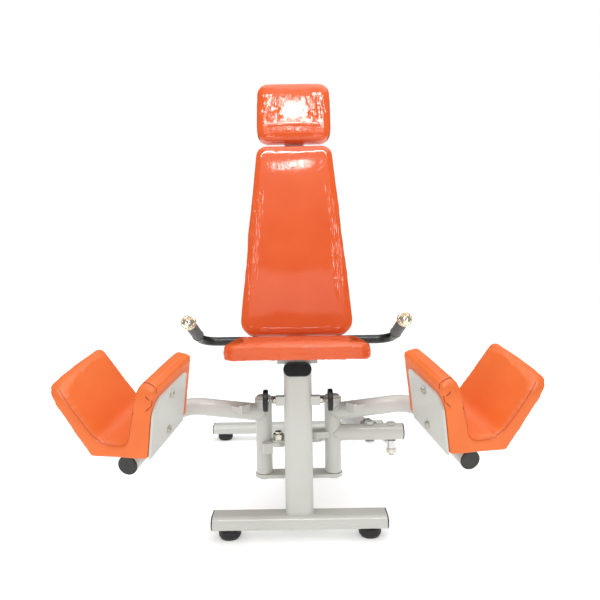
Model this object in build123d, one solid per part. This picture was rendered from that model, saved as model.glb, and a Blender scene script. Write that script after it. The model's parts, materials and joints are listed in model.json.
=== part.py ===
from build123d import *
import os
from math import atan2, cos, degrees, hypot, radians, sin, sqrt, tan

# Hip abductor machine, seated.  Millimetres, +Z up, the user faces -Y.
# Working frame while building: X = 0 and Y = 0 on the front column, Z = 0 a little under the floor.
# The finished parts are moved so that the origin is the middle of the footprint, on the floor.
ORIGIN_Y = 326.0
FLOOR_Z = 13.0

# Flat-oval frame tube
OVAL_WIDTH = 80.0
OVAL_DEPTH = 40.0
TUBE_WALL = 3.0
CAP_THICKNESS = 4.0
PLUG_LENGTH = 15.0

# Base
BASE_BOTTOM = 40.0
FOOT_RADIUS = 32.0
FRONT_BASE_LENGTH = 490.0
REAR_BASE_LENGTH = 740.0
REAR_BASE_Y = 948.0
FRONT_FOOT_X = 199.0
REAR_FOOT_X = 322.0
BASE_TOP = BASE_BOTTOM + OVAL_DEPTH
REAR_POST_Y = 560.0

# Seat
SEAT_TILT = 4.1
BEAM_FRONT_Y = -24.0
BEAM_FRONT_TOP = 511.0
BEAM_LENGTH = 620.0
SEAT_WIDTH = 409.0
SEAT_DEPTH = 384.0
SEAT_PAD_THICKNESS = 47.0
SEAT_FRONT_Y = -73.0
BOARD_THICKNESS = 10.0
SEAT_CORNER = 32.0
SEAT_GAP = 10.0
SEAT_BRACKETS_Y = (10.0, 232.0)
BRACKET_WIDTH = 114.0
BRACKET_DEPTH = 15.0
PAD_EDGE = 14.0
BOLT_RADIUS = 5.0

# Backrest and headrest, measured along the reclined face from its lower edge
RECLINE = 15.0
BACK_FOOT = (0.0, 301.0, 550.0)
BACK_LENGTH = 695.0
BACK_LOWER_WIDTH = 388.0
BACK_UPPER_WIDTH = 272.0
BACK_THICKNESS = 55.0
HEAD_START = 717.0
HEAD_LENGTH = 234.0
HEAD_WIDTH = 271.0
UPRIGHT_TOP = 620.0

# Hand grips
HANDLE_RADIUS = 15.0
HANDLE_BEND = 55.0
HANDLE_DEPTH = 90.0
HANDLE_Z = 519.0
HANDLE_CORNER_X = 329.0
HANDLE_TIP = (334.0, 141.0, 612.0)
GRIP_RADIUS = 18.0
GRIP_LENGTH = 158.0
GRIP_CAP_RADIUS = 23.0
GRIP_CAP_LENGTH = 12.0

# Arm pivots
PIVOT_X = 102.0
PIVOT_Y = 80.0
PIVOT_RADIUS = 24.0
PIVOT_LOW = 169.0
PIVOT_HIGH = 377.0
PLATE_GAP = 1.5
PLATE_THICKNESS = 10.0
PLATE_END_RADIUS = 27.0
PIN_RADIUS = 10.0
PIN_HEAD_RADIUS = 23.0
PIN_HEAD_HEIGHT = 9.0
LOW_NUT_HEIGHT = 5.0
RUNNING = 0.05
CLOSING_ANGLE = 38.0

# Leg arms: the right one is drawn, the left one is its mirror image
ARM_RADIUS = 25.0
ARM_ROOT_Z = 345.0
ARM_ELBOW = (342.0, 50.0, 380.0)
ARM_END = (414.0, -263.0, 308.0)
ARM_BEND = 90.0

# Cradle: profile points are (outward, up) from the arm's centre line, lengths run back from its front face
CRADLE_LEAD = 16.0
CRADLE_LENGTH = 237.0
WALL_FOOT = (-65.0, 26.0)
WALL_TOP = (-99.0, 201.0)
INNER_WALL_HEIGHT = 219.0
OUTER_WALL_HEIGHTS = (200.0, 220.0)
PLATE_METAL = 6.0
PLATE_HEIGHT = 150.0
PLATE_SPAN = (3.0, 194.0)
FLANGE_START = 34.0
CRADLE_BOLT_BACK = 98.0
CRADLE_BOLT_HEIGHTS = (34.0, 130.0)

# Rubber stops on the column
STOP_Z = 399.0
STOP_FACE_X = 99.0
STOP_DISC_RADIUS = 31.0
STOP_DISC_THICKNESS = 14.0
STUB_SIZE = 25.0
STUB_END_X = 63.0
STOP_ROD_RADIUS = 5.0
LUG_TOP = 384.0

# Link between the two arms
LINK_RADIUS = 50.0
LEFT_LUG_ANGLE = -30.0
RIGHT_LUG_ANGLE = 188.0
LUG_WIDTH = 38.0
LUG_BLOCK_ANGLE = -72.0
LEFT_LUG_Z = (254.0, 266.0)
LINK_Z = (266.3, 272.3)
RIGHT_LUG_Z = (272.7, 290.7)

# Lever and hydraulic cylinder
LEVER_RADIUS = 24.0
LEVER_Z = 283.0
LEVER_END_X = 313.0
LEVER_BOLT_X = 276.0
LEVER_SPARE_X = 212.0
CYLINDER_Z = 247.0
ANCHOR = (130.0, 560.0, CYLINDER_Z)
BARREL_RADIUS = 25.0
BARREL_BORE = 21.0
ROD_RADIUS = 8.0
BARREL_START = 150.0
ROD_END = 305.0
CUP_RADIUS = 25.0
CUP_BORE = 20.5
BALL_RADIUS = 11.0

parts = {}


def plane_at(point, direction, across=None):
    if across is None:
        return Plane(origin=point, z_dir=direction)
    return Plane(origin=point, x_dir=across, z_dir=direction)


def oval(start, along, across, length, inset=0.0):
    """Flat-oval bar; across is the direction of its wide side."""
    outline = SlotOverall(OVAL_WIDTH - 2 * inset, OVAL_DEPTH - 2 * inset)
    return extrude(plane_at(start, along, across) * outline, length)


def oval_tube(start, along, across, length):
    return oval(start, along, across, length) - oval(start, along, across, length, TUBE_WALL)


def oval_cap(end, outward, across):
    """Plastic cap on the end of a flat-oval tube, with its plug inside."""
    inward = [-c for c in outward]
    plug = oval(end, inward, across, PLUG_LENGTH, TUBE_WALL + 0.05)
    flange = oval(end, outward, across, CAP_THICKNESS)
    rim = flange.faces().sort_by(Axis(end, outward))[-1].edges()
    return fillet(rim, 2.5) + plug


def rod(start, direction, radius, length):
    return extrude(plane_at(start, direction) * Circle(radius), length)


def round_tube(start, direction, radius, length, wall=TUBE_WALL):
    return rod(start, direction, radius, length) - rod(start, direction, radius - wall, length)


def hexagon(start, direction, across_flats, height):
    """Hexagon with its far corners chamfered."""
    corner = across_flats / sqrt(3)
    blank = rod(start, direction, corner, height)
    rim = blank.edges().sort_by(Axis(start, direction))[-1]
    return chamfer(rim, 1.4) & extrude(plane_at(start, direction) * RegularPolygon(corner, 6), height)


def bolt(seat, direction, radius, length, across_flats, head_height):
    """Hex bolt whose head sits at seat and whose shank runs along direction."""
    outward = [-c for c in direction]
    return hexagon(seat, outward, across_flats, head_height) + rod(seat, direction, radius, length)


def ring(start, direction, outer, inner, height):
    return rod(start, direction, outer, height) - rod(start, direction, inner, height)


def mirrored(shape):
    return mirror(shape, about=Plane.YZ)


def turned(shape, angle, x, y):
    """Shape turned about the vertical line through x, y."""
    return shape.rotate(Axis((x, y, 0), (0, 0, 1)), angle)


def polar(x, y, radius, angle, z):
    return (x + radius * cos(radians(angle)), y + radius * sin(radians(angle)), z)


def keep(name, *shapes):
    parts[name] = Compound(children=[s for shape in shapes for s in shape.solids()])


# ---------------------------------------------------------------- base and column
def make_base():
    caps = []
    feet = []
    bars = []
    for y, length, foot_x in ((0, FRONT_BASE_LENGTH, FRONT_FOOT_X),
                              (REAR_BASE_Y, REAR_BASE_LENGTH, REAR_FOOT_X)):
        z = BASE_BOTTOM + OVAL_DEPTH / 2
        start = (-length / 2, y, z)
        bars.append(oval(start, (1, 0, 0), (0, 1, 0), length))
        tube = oval_tube(start, (1, 0, 0), (0, 1, 0), length)
        keep("front_base_tube" if y == 0 else "rear_base_tube", tube)
        for side in (-1, 1):
            caps.append(oval_cap((side * length / 2, y, z), (side, 0, 0), (0, 1, 0)))
            feet.append(Pos(side * foot_x, y, FLOOR_Z) * rubber_foot())
    keep("rubber_feet", *feet)
    spine = oval_tube((0, 5, BASE_BOTTOM + OVAL_DEPTH / 2), (0, 1, 0), (1, 0, 0), REAR_BASE_Y - 10)
    keep("spine_tube", spine - bars[0] - bars[1])
    return caps


def rubber_foot():
    height = BASE_BOTTOM - FLOOR_Z
    outline = Polyline((0, 0), (FOOT_RADIUS - 6, 0), (FOOT_RADIUS, 9),
                       (FOOT_RADIUS, height), (0, height), close=True)
    foot = revolve(Plane.XZ * make_face(outline), Axis.Z)
    widest = foot.edges().filter_by(GeomType.CIRCLE).filter_by(lambda e: abs(e.radius - FOOT_RADIUS) < 0.1)
    return fillet(widest, 3)


def beam_frame():
    """Direction of the seat beam, its wide side and the middle of its front end."""
    tilt = radians(SEAT_TILT)
    along = (0, cos(tilt), -sin(tilt))
    drop = OVAL_DEPTH / 2
    start = (0, BEAM_FRONT_Y - drop * sin(tilt), BEAM_FRONT_TOP - drop * cos(tilt))
    return start, along


def seat_place(y, depth=0.0):
    """Point on the seat's tilted top plane at this Y, then down by depth at right angles."""
    tilt = radians(SEAT_TILT)
    top_front = BEAM_FRONT_TOP + (SEAT_GAP + SEAT_PAD_THICKNESS) / cos(tilt)
    z = top_front - (y - BEAM_FRONT_Y) * tan(tilt)
    return (0, y - depth * sin(tilt), z - depth * cos(tilt))


def make_column_and_beam():
    start, along = beam_frame()
    beam_solid = oval(start, along, (1, 0, 0), BEAM_LENGTH)
    beam = oval_tube(start, along, (1, 0, 0), BEAM_LENGTH)
    end = [s + a * BEAM_LENGTH for s, a in zip(start, along)]
    height = BEAM_FRONT_TOP - BASE_TOP
    column = oval_tube((0, 0, BASE_TOP), (0, 0, 1), (1, 0, 0), height) - beam_solid
    post = oval_tube((0, REAR_POST_Y, BASE_TOP), (0, 0, 1), (1, 0, 0), height) - beam_solid
    keep("column_tube", column.solids().sort_by(Axis.Z)[0])
    keep("rear_post", post.solids().sort_by(Axis.Z)[0])
    caps = [oval_cap(start, [-a for a in along], (1, 0, 0)), oval_cap(end, along, (1, 0, 0))]
    return beam, beam_solid, caps


# ---------------------------------------------------------------- seat
def make_seat(beam, beam_solid):
    tilt = radians(SEAT_TILT)
    down = (0, -sin(tilt), -cos(tilt))
    up = (0, sin(tilt), cos(tilt))
    middle = SEAT_FRONT_Y + SEAT_DEPTH / 2
    pad_bottom = seat_place(middle, SEAT_PAD_THICKNESS)
    pad = extrude(plane_at(pad_bottom, up, (1, 0, 0))
                  * RectangleRounded(SEAT_WIDTH, SEAT_DEPTH, SEAT_CORNER), SEAT_PAD_THICKNESS)
    pad = fillet(pad.faces().sort_by(Axis(pad_bottom, up))[-1].edges(), PAD_EDGE)
    board = extrude(plane_at(pad_bottom, up, (1, 0, 0))
                    * RectangleRounded(SEAT_WIDTH - 60, SEAT_DEPTH - 60, SEAT_CORNER), BOARD_THICKNESS)
    keep("seat_pad", pad - board)
    brackets = []
    bolts = []
    for y in SEAT_BRACKETS_Y:
        top = seat_place(y, SEAT_PAD_THICKNESS)
        bracket = extrude(plane_at(top, down, (1, 0, 0)) * Rectangle(BRACKET_WIDTH, 40), BRACKET_DEPTH)
        seat = seat_place(y, SEAT_PAD_THICKNESS + SEAT_GAP + OVAL_DEPTH)
        grip = OVAL_DEPTH + SEAT_GAP + BOARD_THICKNESS - 2
        shank = rod(seat, up, BOLT_RADIUS, grip)
        bolts.append(bolt(seat, up, BOLT_RADIUS, grip, 17, 7))
        brackets.append(bracket - beam_solid - shank)
        beam = beam - shank
        board = board - shank
    keep("seat_board", board)
    keep("seat_beam", beam)
    keep("seat_brackets", *brackets)
    return bolts


# ---------------------------------------------------------------- backrest and headrest
def back_point(x, s, depth):
    """Point s up the reclined face and depth behind it."""
    lean = radians(RECLINE)
    return (BACK_FOOT[0] + x,
            BACK_FOOT[1] + s * sin(lean) + depth * cos(lean),
            BACK_FOOT[2] + s * cos(lean) - depth * sin(lean))


def back_plane(s, depth):
    """Sketch plane on the reclined face: X across, Y up the face, normal towards the user."""
    lean = radians(RECLINE)
    return Plane(origin=back_point(0, s, depth), x_dir=(1, 0, 0), z_dir=(0, -cos(lean), sin(lean)))


def tapered_outline(lower, upper, length, lower_radius, upper_radius):
    corners = Polyline((-lower / 2, 0), (lower / 2, 0), (upper / 2, length), (-upper / 2, length), close=True)
    sheet = make_face(corners)
    low = sheet.vertices().group_by(Axis.Y)[0]
    sheet = fillet(low, lower_radius)
    high = sheet.vertices().group_by(Axis.Y)[-1]
    return fillet(high, upper_radius)


def front_rim(shape, s):
    lean = radians(RECLINE)
    towards_user = Axis(back_point(0, s, 0), (0, -cos(lean), sin(lean)))
    return shape.faces().sort_by(towards_user)[-1].edges()


def make_back():
    lean = radians(RECLINE)
    backward = (0, cos(lean), -sin(lean))
    forward = (0, -cos(lean), sin(lean))
    up_face = (0, sin(lean), cos(lean))
    outline = tapered_outline(BACK_LOWER_WIDTH, BACK_UPPER_WIDTH, BACK_LENGTH, 48, 38)
    pad = extrude(back_plane(0, BACK_THICKNESS) * outline, BACK_THICKNESS)
    keep("backrest_pad", fillet(front_rim(pad, 0), PAD_EDGE))
    inner = tapered_outline(BACK_LOWER_WIDTH - 60, BACK_UPPER_WIDTH - 60, BACK_LENGTH - 60, 30, 20)
    board_back = BACK_THICKNESS + BOARD_THICKNESS
    keep("backrest_board", extrude(back_plane(30, board_back) * inner, BOARD_THICKNESS))

    head_middle = HEAD_START + HEAD_LENGTH / 2
    head = back_plane(head_middle, BACK_THICKNESS) * RectangleRounded(HEAD_WIDTH, HEAD_LENGTH, 42)
    keep("headrest_pad", fillet(front_rim(extrude(head, BACK_THICKNESS), HEAD_START), PAD_EDGE))
    head_board = back_plane(head_middle, board_back) * RectangleRounded(HEAD_WIDTH - 60, HEAD_LENGTH - 60, 20)
    keep("headrest_board", extrude(head_board, BOARD_THICKNESS))

    # Upright behind the backrest, from the seat beam to under the headrest
    axis_depth = board_back + OVAL_DEPTH / 2
    foot = back_point(0, -75, axis_depth)
    length = UPRIGHT_TOP + 75
    beam_start, beam_along = beam_frame()
    cutter = oval(beam_start, beam_along, (1, 0, 0), BEAM_LENGTH)
    upright = oval_tube(foot, up_face, (1, 0, 0), length) - cutter
    upright = upright.solids().sort_by(Axis.Z)[-1]
    upright_solid = oval(foot, up_face, (1, 0, 0), length)
    bolts = []
    for s in (120, 520):
        seat = back_point(0, s, board_back + OVAL_DEPTH)
        bolts.append(bolt(seat, forward, BOLT_RADIUS, OVAL_DEPTH, 17, 7))
        upright = upright - rod(seat, forward, BOLT_RADIUS, OVAL_DEPTH)

    # Flat plate that carries the headrest, welded to the top of the upright
    plate_length = HEAD_START + 150 - UPRIGHT_TOP
    plate_middle = UPRIGHT_TOP + plate_length / 2
    plate = extrude(back_plane(plate_middle, board_back + 8) * Rectangle(72, plate_length), 8)
    for x in (-20, 20):
        seat = back_point(x, HEAD_START + 90, board_back + 8)
        bolts.append(bolt(seat, forward, 4, 8, 13, 5))
        plate = plate - rod(seat, forward, 4, 8)
    keep("headrest_plate", plate)
    return upright, upright_solid, bolts


# ---------------------------------------------------------------- hand grips
def make_handles(upright, upright_solid):
    y = back_point(0, (HANDLE_Z - BACK_FOOT[2]) / cos(radians(RECLINE)), 0)[1] + HANDLE_DEPTH
    corner = (HANDLE_CORNER_X, y, HANDLE_Z)
    tip = Vector(*HANDLE_TIP)
    along = (tip - Vector(*corner)).normalized()
    tube_end = tip - along * GRIP_CAP_LENGTH
    path = FilletPolyline((0, y, HANDLE_Z), corner, tuple(tube_end), radius=HANDLE_BEND)
    start = plane_at((0, y, HANDLE_Z), (1, 0, 0))
    bar = sweep(start * Circle(HANDLE_RADIUS), path) - upright_solid
    right = bar.solids().sort_by(Axis.X)[-1]
    grip_start = tube_end - along * GRIP_LENGTH
    grip = ring(tuple(grip_start), tuple(along), GRIP_RADIUS, HANDLE_RADIUS + RUNNING, GRIP_LENGTH)
    cap = rod(tuple(tube_end), tuple(along), GRIP_CAP_RADIUS, GRIP_CAP_LENGTH)
    cap = fillet(cap.edges(), 3)
    keep("right_handle_tube", right)
    keep("left_handle_tube", mirrored(right))
    keep("handle_grips", grip, mirrored(grip))
    keep("handle_end_caps", cap, mirrored(cap))
    keep("back_upright", upright)


# ---------------------------------------------------------------- arm pivots
def make_pivots():
    bolts = []
    levels = (PIVOT_LOW - PLATE_GAP - PLATE_THICKNESS, PIVOT_HIGH + PLATE_GAP)
    for name, z in zip(("lower_pivot_plate", "upper_pivot_plate"), levels):
        face = Pos(0, PIVOT_Y) * SlotOverall(2 * (PIVOT_X + PLATE_END_RADIUS), 2 * PLATE_END_RADIUS)
        face += Pos(0, (PIVOT_Y + OVAL_DEPTH / 2) / 2) * Rectangle(60, PIVOT_Y - OVAL_DEPTH / 2)
        plate = extrude(Pos(0, 0, z) * face, PLATE_THICKNESS)
        for side in (-1, 1):
            plate = plate - rod((side * PIVOT_X, PIVOT_Y, z), (0, 0, 1), PIN_RADIUS, PLATE_THICKNESS)
        keep(name, plate)
    low = levels[0]
    high = levels[1] + PLATE_THICKNESS
    for side in (-1, 1):
        top = (side * PIVOT_X, PIVOT_Y, high)
        bottom = (side * PIVOT_X, PIVOT_Y, low - LOW_NUT_HEIGHT)
        head = rod(top, (0, 0, 1), PIN_HEAD_RADIUS, PIN_HEAD_HEIGHT)
        head = fillet(head.faces().sort_by(Axis.Z)[-1].edges(), PIN_HEAD_HEIGHT - 2)
        pin = head + rod(bottom, (0, 0, 1), PIN_RADIUS, high - low + LOW_NUT_HEIGHT)
        bolts += [pin, ring(bottom, (0, 0, 1), PIN_HEAD_RADIUS - 5, PIN_RADIUS, LOW_NUT_HEIGHT)]
    keep("pivot_bolts", *bolts)


# ---------------------------------------------------------------- rubber stops
def make_stops():
    column = oval((0, 0, 300), (0, 0, 1), (1, 0, 0), 200)
    stub = Pos((STUB_END_X + 20) / 2, 0, STOP_Z) * Box(STUB_END_X - 20, STUB_SIZE, STUB_SIZE)
    stub = stub - column
    bore_start = OVAL_WIDTH / 2 + 1.5
    stub = stub - rod((bore_start, 0, STOP_Z), (1, 0, 0), STOP_ROD_RADIUS + RUNNING, 60)
    nut = hexagon((STUB_END_X, 0, STOP_Z), (1, 0, 0), 17, 8)
    nut = nut - rod((STUB_END_X, 0, STOP_Z), (1, 0, 0), STOP_ROD_RADIUS + RUNNING, 8)
    disc_start = STOP_FACE_X - STOP_DISC_THICKNESS
    disc = rod((disc_start, 0, STOP_Z), (1, 0, 0), STOP_DISC_RADIUS, STOP_DISC_THICKNESS)
    disc = fillet(disc.edges(), 3)
    screw = rod((disc_start - 32, 0, STOP_Z), (1, 0, 0), STOP_ROD_RADIUS, 32)
    keep("stop_stubs", stub, mirrored(stub))
    for side, flip in (("right", False), ("left", True)):
        keep(side + "_stop_disc", mirrored(disc) if flip else disc)
        keep(side + "_stop_screw", mirrored(screw) if flip else screw)
    keep("stop_lock_nuts", nut, mirrored(nut))


# ---------------------------------------------------------------- leg arms
def arm_directions():
    """Unit vectors of the arm's outer run: forward, sideways out and up."""
    forward = (Vector(*ARM_END) - Vector(*ARM_ELBOW)).normalized()
    sideways = Vector(-forward.Y, forward.X, 0).normalized()
    if sideways.X < 0:
        sideways = sideways * -1
    return forward, sideways, forward.cross(sideways)


def cradle_outline():
    """V-shaped trough: low inner wall beside the plate, longer outer wall leaning outwards."""
    corners = [WALL_FOOT, (84, 26), (187, 205), (163, 219), (59, 62), (-13, 62), (-56, 217), WALL_TOP]
    radii = [10, 12, 12, 12, 48, 24, 15, 8]
    sheet = make_face(Polyline(*corners, close=True))
    for (x, y), radius in zip(corners, radii):
        corner = sheet.vertices().sort_by_distance((x, y, 0))[0]
        sheet = fillet(corner, radius)
    return sheet


def side_outline(start, end, bottom, front_top, rear_top, front_radius, back_radius):
    """Side view of a cradle piece: X back along the arm from its front face, Y up."""
    corners = Polyline((start, bottom), (end, bottom), (end, rear_top), (start, front_top), close=True)
    sheet = make_face(corners)
    sheet = fillet(sheet.vertices().sort_by_distance((start, front_top, 0))[0], front_radius)
    return fillet(sheet.vertices().sort_by_distance((end, rear_top, 0))[0], back_radius)


def make_cradle():
    forward, sideways, up = arm_directions()
    face = Vector(*ARM_END) + forward * CRADLE_LEAD
    across = Plane(origin=face, x_dir=sideways, z_dir=forward)
    side = Plane(origin=face, x_dir=forward * -1, z_dir=sideways)
    inner_side = side_outline(0, CRADLE_LENGTH, 0, INNER_WALL_HEIGHT, INNER_WALL_HEIGHT, 48, 20)
    outer_side = side_outline(0, CRADLE_LENGTH, 0, *OUTER_WALL_HEIGHTS, 42, 18)
    trim = extrude(side * inner_side, -300) + extrude(side * outer_side, 300)
    pad = extrude(across * cradle_outline(), -CRADLE_LENGTH) & trim

    # Angle plate: a flange on the arm tube, let into the pad, and a wall outside the pad
    rise = Vector(WALL_TOP[0] - WALL_FOOT[0], WALL_TOP[1] - WALL_FOOT[1]).normalized()
    out = Vector(-rise.Y, rise.X)
    flange_top = ARM_RADIUS + PLATE_METAL
    inner_foot = Vector(*WALL_FOOT) + rise * ((flange_top - WALL_FOOT[1]) / rise.Y)
    inner_top = Vector(*WALL_FOOT) + rise * PLATE_HEIGHT
    outer_top = inner_top + out * PLATE_METAL
    outer_foot = inner_foot + out * PLATE_METAL
    angle = make_face(Polyline((25, ARM_RADIUS), (25, flange_top), (inner_foot.X, inner_foot.Y),
                               (inner_top.X, inner_top.Y), (outer_top.X, outer_top.Y),
                               (outer_foot.X, outer_foot.Y), (inner_foot.X + 4, ARM_RADIUS), close=True))
    plate_side = side_outline(*PLATE_SPAN, 0, inner_top.Y, inner_top.Y, 40, 16)
    plate = extrude(across * angle, -CRADLE_LENGTH) & extrude(side * plate_side, 300, both=True)
    notch = Pos(inner_foot.X + 100, ARM_RADIUS, 0) * Rectangle(200, 2 * PLATE_METAL)
    plate = plate - extrude(across * notch, -FLANGE_START)
    pad = pad - plate
    bolts = []
    for height in CRADLE_BOLT_HEIGHTS:
        spot = Vector(*WALL_FOOT) + rise * height + out * PLATE_METAL
        seat = face - forward * CRADLE_BOLT_BACK + sideways * spot.X + up * spot.Y
        inward = sideways * -out.X + up * -out.Y
        bolts.append(bolt(tuple(seat), tuple(inward), BOLT_RADIUS, PLATE_METAL, 17, 6.5))
        plate = plate - rod(tuple(seat), tuple(inward), BOLT_RADIUS, PLATE_METAL + 1)
    return pad, plate, bolts


def make_arm():
    """Right arm tube with its end cap, and its solid outline for trimming."""
    forward, sideways, up = arm_directions()
    end = Vector(*ARM_END) - forward * CAP_THICKNESS
    root = (PIVOT_X, PIVOT_Y, ARM_ROOT_Z)
    path = FilletPolyline(root, ARM_ELBOW, tuple(end), radius=ARM_BEND)
    start = plane_at(root, Vector(*ARM_ELBOW) - Vector(*root))
    solid = sweep(start * Circle(ARM_RADIUS), path)
    bore = sweep(start * Circle(ARM_RADIUS - TUBE_WALL), path)
    pivot = rod((PIVOT_X, PIVOT_Y, PIVOT_LOW), (0, 0, 1), PIVOT_RADIUS, PIVOT_HIGH - PIVOT_LOW)
    tube = (solid - bore) - pivot
    tube = tube.solids().sort_by(SortBy.VOLUME)[-1]
    flange = rod(tuple(end), tuple(forward), ARM_RADIUS, CAP_THICKNESS)
    flange = fillet(flange.faces().sort_by(Axis(tuple(end), tuple(forward)))[-1].edges(), 2.5)
    plug = rod(tuple(end), tuple(forward * -1), ARM_RADIUS - TUBE_WALL - 0.05, PLUG_LENGTH)
    return tube, solid, flange + plug


def make_pivot_tube():
    at = (PIVOT_X, PIVOT_Y, PIVOT_LOW)
    length = PIVOT_HIGH - PIVOT_LOW
    tube = round_tube(at, (0, 0, 1), PIVOT_RADIUS, length)
    bushes = []
    for z, outward in ((PIVOT_LOW, -1), (PIVOT_HIGH, 1)):
        face = (PIVOT_X, PIVOT_Y, z)
        sleeve = ring(face, (0, 0, -outward), PIVOT_RADIUS - TUBE_WALL, PIN_RADIUS + RUNNING, 30)
        collar = ring(face, (0, 0, outward), PIVOT_RADIUS - 0.5, PIN_RADIUS + RUNNING, 1)
        bushes.append(sleeve + collar)
    return tube, bushes


def make_stop_lug(arm_solid):
    """Finger on the arm that meets the rubber stop when the arm is closed."""
    face_x = STOP_FACE_X + 0.5
    finger = Pos(face_x + 6, 0, LUG_TOP - 11) * Box(12, 34, 22)
    bridge = Pos(face_x + 36, 8, LUG_TOP - 18) * Box(60, 26, 18)
    lug = turned(finger + bridge, CLOSING_ANGLE, PIVOT_X, PIVOT_Y) - arm_solid
    return lug.solids().sort_by(SortBy.VOLUME)[-1]


def lug_plate(x, angle, levels, hole):
    """Flat lug welded round a pivot tube, with a hole at the link radius."""
    middle = polar(x, PIVOT_Y, LINK_RADIUS / 2, angle, levels[0])
    face = Location(middle, (0, 0, angle)) * SlotCenterToCenter(LINK_RADIUS, LUG_WIDTH)
    plate = extrude(face, levels[1] - levels[0])
    plate = plate - rod((x, PIVOT_Y, levels[0] - 1), (0, 0, 1), PIVOT_RADIUS, 40)
    pin = polar(x, PIVOT_Y, LINK_RADIUS, angle, levels[0])
    return plate - rod(pin, (0, 0, 1), hole, 40)


def make_link():
    left_pin = polar(-PIVOT_X, PIVOT_Y, LINK_RADIUS, LEFT_LUG_ANGLE, 0)
    right_pin = polar(PIVOT_X, PIVOT_Y, LINK_RADIUS, RIGHT_LUG_ANGLE, 0)
    block_middle = polar(-PIVOT_X, PIVOT_Y, PIVOT_RADIUS + 9, LUG_BLOCK_ANGLE, LEFT_LUG_Z[1] - 17)
    block = Location(block_middle, (0, 0, LUG_BLOCK_ANGLE)) * Box(22, 28, 30)
    block = block - rod((-PIVOT_X, PIVOT_Y, PIVOT_LOW), (0, 0, 1), PIVOT_RADIUS, 150)
    keep("left_link_lug", lug_plate(-PIVOT_X, LEFT_LUG_ANGLE, LEFT_LUG_Z, PIN_RADIUS) + block)
    keep("right_link_lug", lug_plate(PIVOT_X, RIGHT_LUG_ANGLE, RIGHT_LUG_Z, 8))
    x, y, _ = left_pin
    nut = hexagon((x, y, LINK_Z[1] + 0.4), (0, 0, 1), 30, 16)
    keep("left_link_bolt", nut + rod((x, y, LEFT_LUG_Z[0]), (0, 0, 1), PIN_RADIUS, 42))
    x, y, _ = right_pin
    head = rod((x, y, LINK_Z[0] - 5.4), (0, 0, 1), 17, 5)
    keep("right_link_bolt", head + rod((x, y, LINK_Z[0] - 1), (0, 0, 1), 8, RIGHT_LUG_Z[1] - LINK_Z[0] + 1))

    # Flat link bar; its right eye is long enough for the arms' equal swing
    span = hypot(right_pin[0] - left_pin[0], right_pin[1] - left_pin[1])
    angle = degrees(atan2(right_pin[1] - left_pin[1], right_pin[0] - left_pin[0]))
    middle = ((left_pin[0] + right_pin[0]) / 2, (left_pin[1] + right_pin[1]) / 2, LINK_Z[0])
    thickness = LINK_Z[1] - LINK_Z[0]
    bar = extrude(Location(middle, (0, 0, angle)) * SlotCenterToCenter(span, 34), thickness)
    bar = bar - rod((left_pin[0], left_pin[1], LINK_Z[0]), (0, 0, 1), PIN_RADIUS + RUNNING, thickness)
    slot_length = 6.0
    slot_middle = polar(right_pin[0], right_pin[1], -slot_length / 2, angle, LINK_Z[0])
    eye = extrude(Location(slot_middle, (0, 0, angle)) * SlotCenterToCenter(slot_length, 21), thickness)
    keep("tie_link", bar - eye)


# ---------------------------------------------------------------- lever and cylinder
def make_lever():
    start = (PIVOT_X, PIVOT_Y, LEVER_Z)
    length = LEVER_END_X - CAP_THICKNESS - PIVOT_X
    pivot = rod((PIVOT_X, PIVOT_Y, PIVOT_LOW), (0, 0, 1), PIVOT_RADIUS, PIVOT_HIGH - PIVOT_LOW)
    tube = round_tube(start, (1, 0, 0), LEVER_RADIUS, length) - pivot
    end = (PIVOT_X + length, PIVOT_Y, LEVER_Z)
    flange = rod(end, (1, 0, 0), LEVER_RADIUS, CAP_THICKNESS)
    flange = fillet(flange.faces().sort_by(Axis.X)[-1].edges(), 2.5)
    plug = rod(end, (-1, 0, 0), LEVER_RADIUS - TUBE_WALL - 0.05, PLUG_LENGTH)
    top = LEVER_Z + LEVER_RADIUS
    bottom = LEVER_Z - LEVER_RADIUS
    for x in (LEVER_BOLT_X, LEVER_SPARE_X):
        tube = tube - rod((x, PIVOT_Y, bottom - 5), (0, 0, 1), ROD_RADIUS, 2 * LEVER_RADIUS + 10)
    keep("lever_tube", tube.solids().sort_by(SortBy.VOLUME)[-1])
    keep("lever_end_cap", flange + plug)

    # The working bolt carries the cylinder's eye; the spare one fills the inner hole
    head = rod((LEVER_BOLT_X, PIVOT_Y, top - 1), (0, 0, 1), 14, 5)
    head = fillet(head.faces().sort_by(Axis.Z)[-1].edges(), 3)
    working = head + rod((LEVER_BOLT_X, PIVOT_Y, 214), (0, 0, 1), ROD_RADIUS, top - 214)
    nut = hexagon((LEVER_BOLT_X, PIVOT_Y, 235), (0, 0, -1), 27, 14)
    keep("lever_nut", nut - rod((LEVER_BOLT_X, PIVOT_Y, 200), (0, 0, 1), ROD_RADIUS, 50))
    spare = bolt((LEVER_SPARE_X, PIVOT_Y, top), (0, 0, -1), ROD_RADIUS, 2 * LEVER_RADIUS + 4, 24, 9)
    spare = spare + rod((LEVER_SPARE_X, PIVOT_Y, bottom - 5), (0, 0, 1), 14, 5)
    keep("lever_bolts", working - parts["lever_tube"], spare - parts["lever_tube"])


def cylinder_line():
    start = Vector(LEVER_BOLT_X, PIVOT_Y, CYLINDER_Z)
    span = Vector(*ANCHOR) - start
    return start, span.normalized(), span.length


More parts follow.
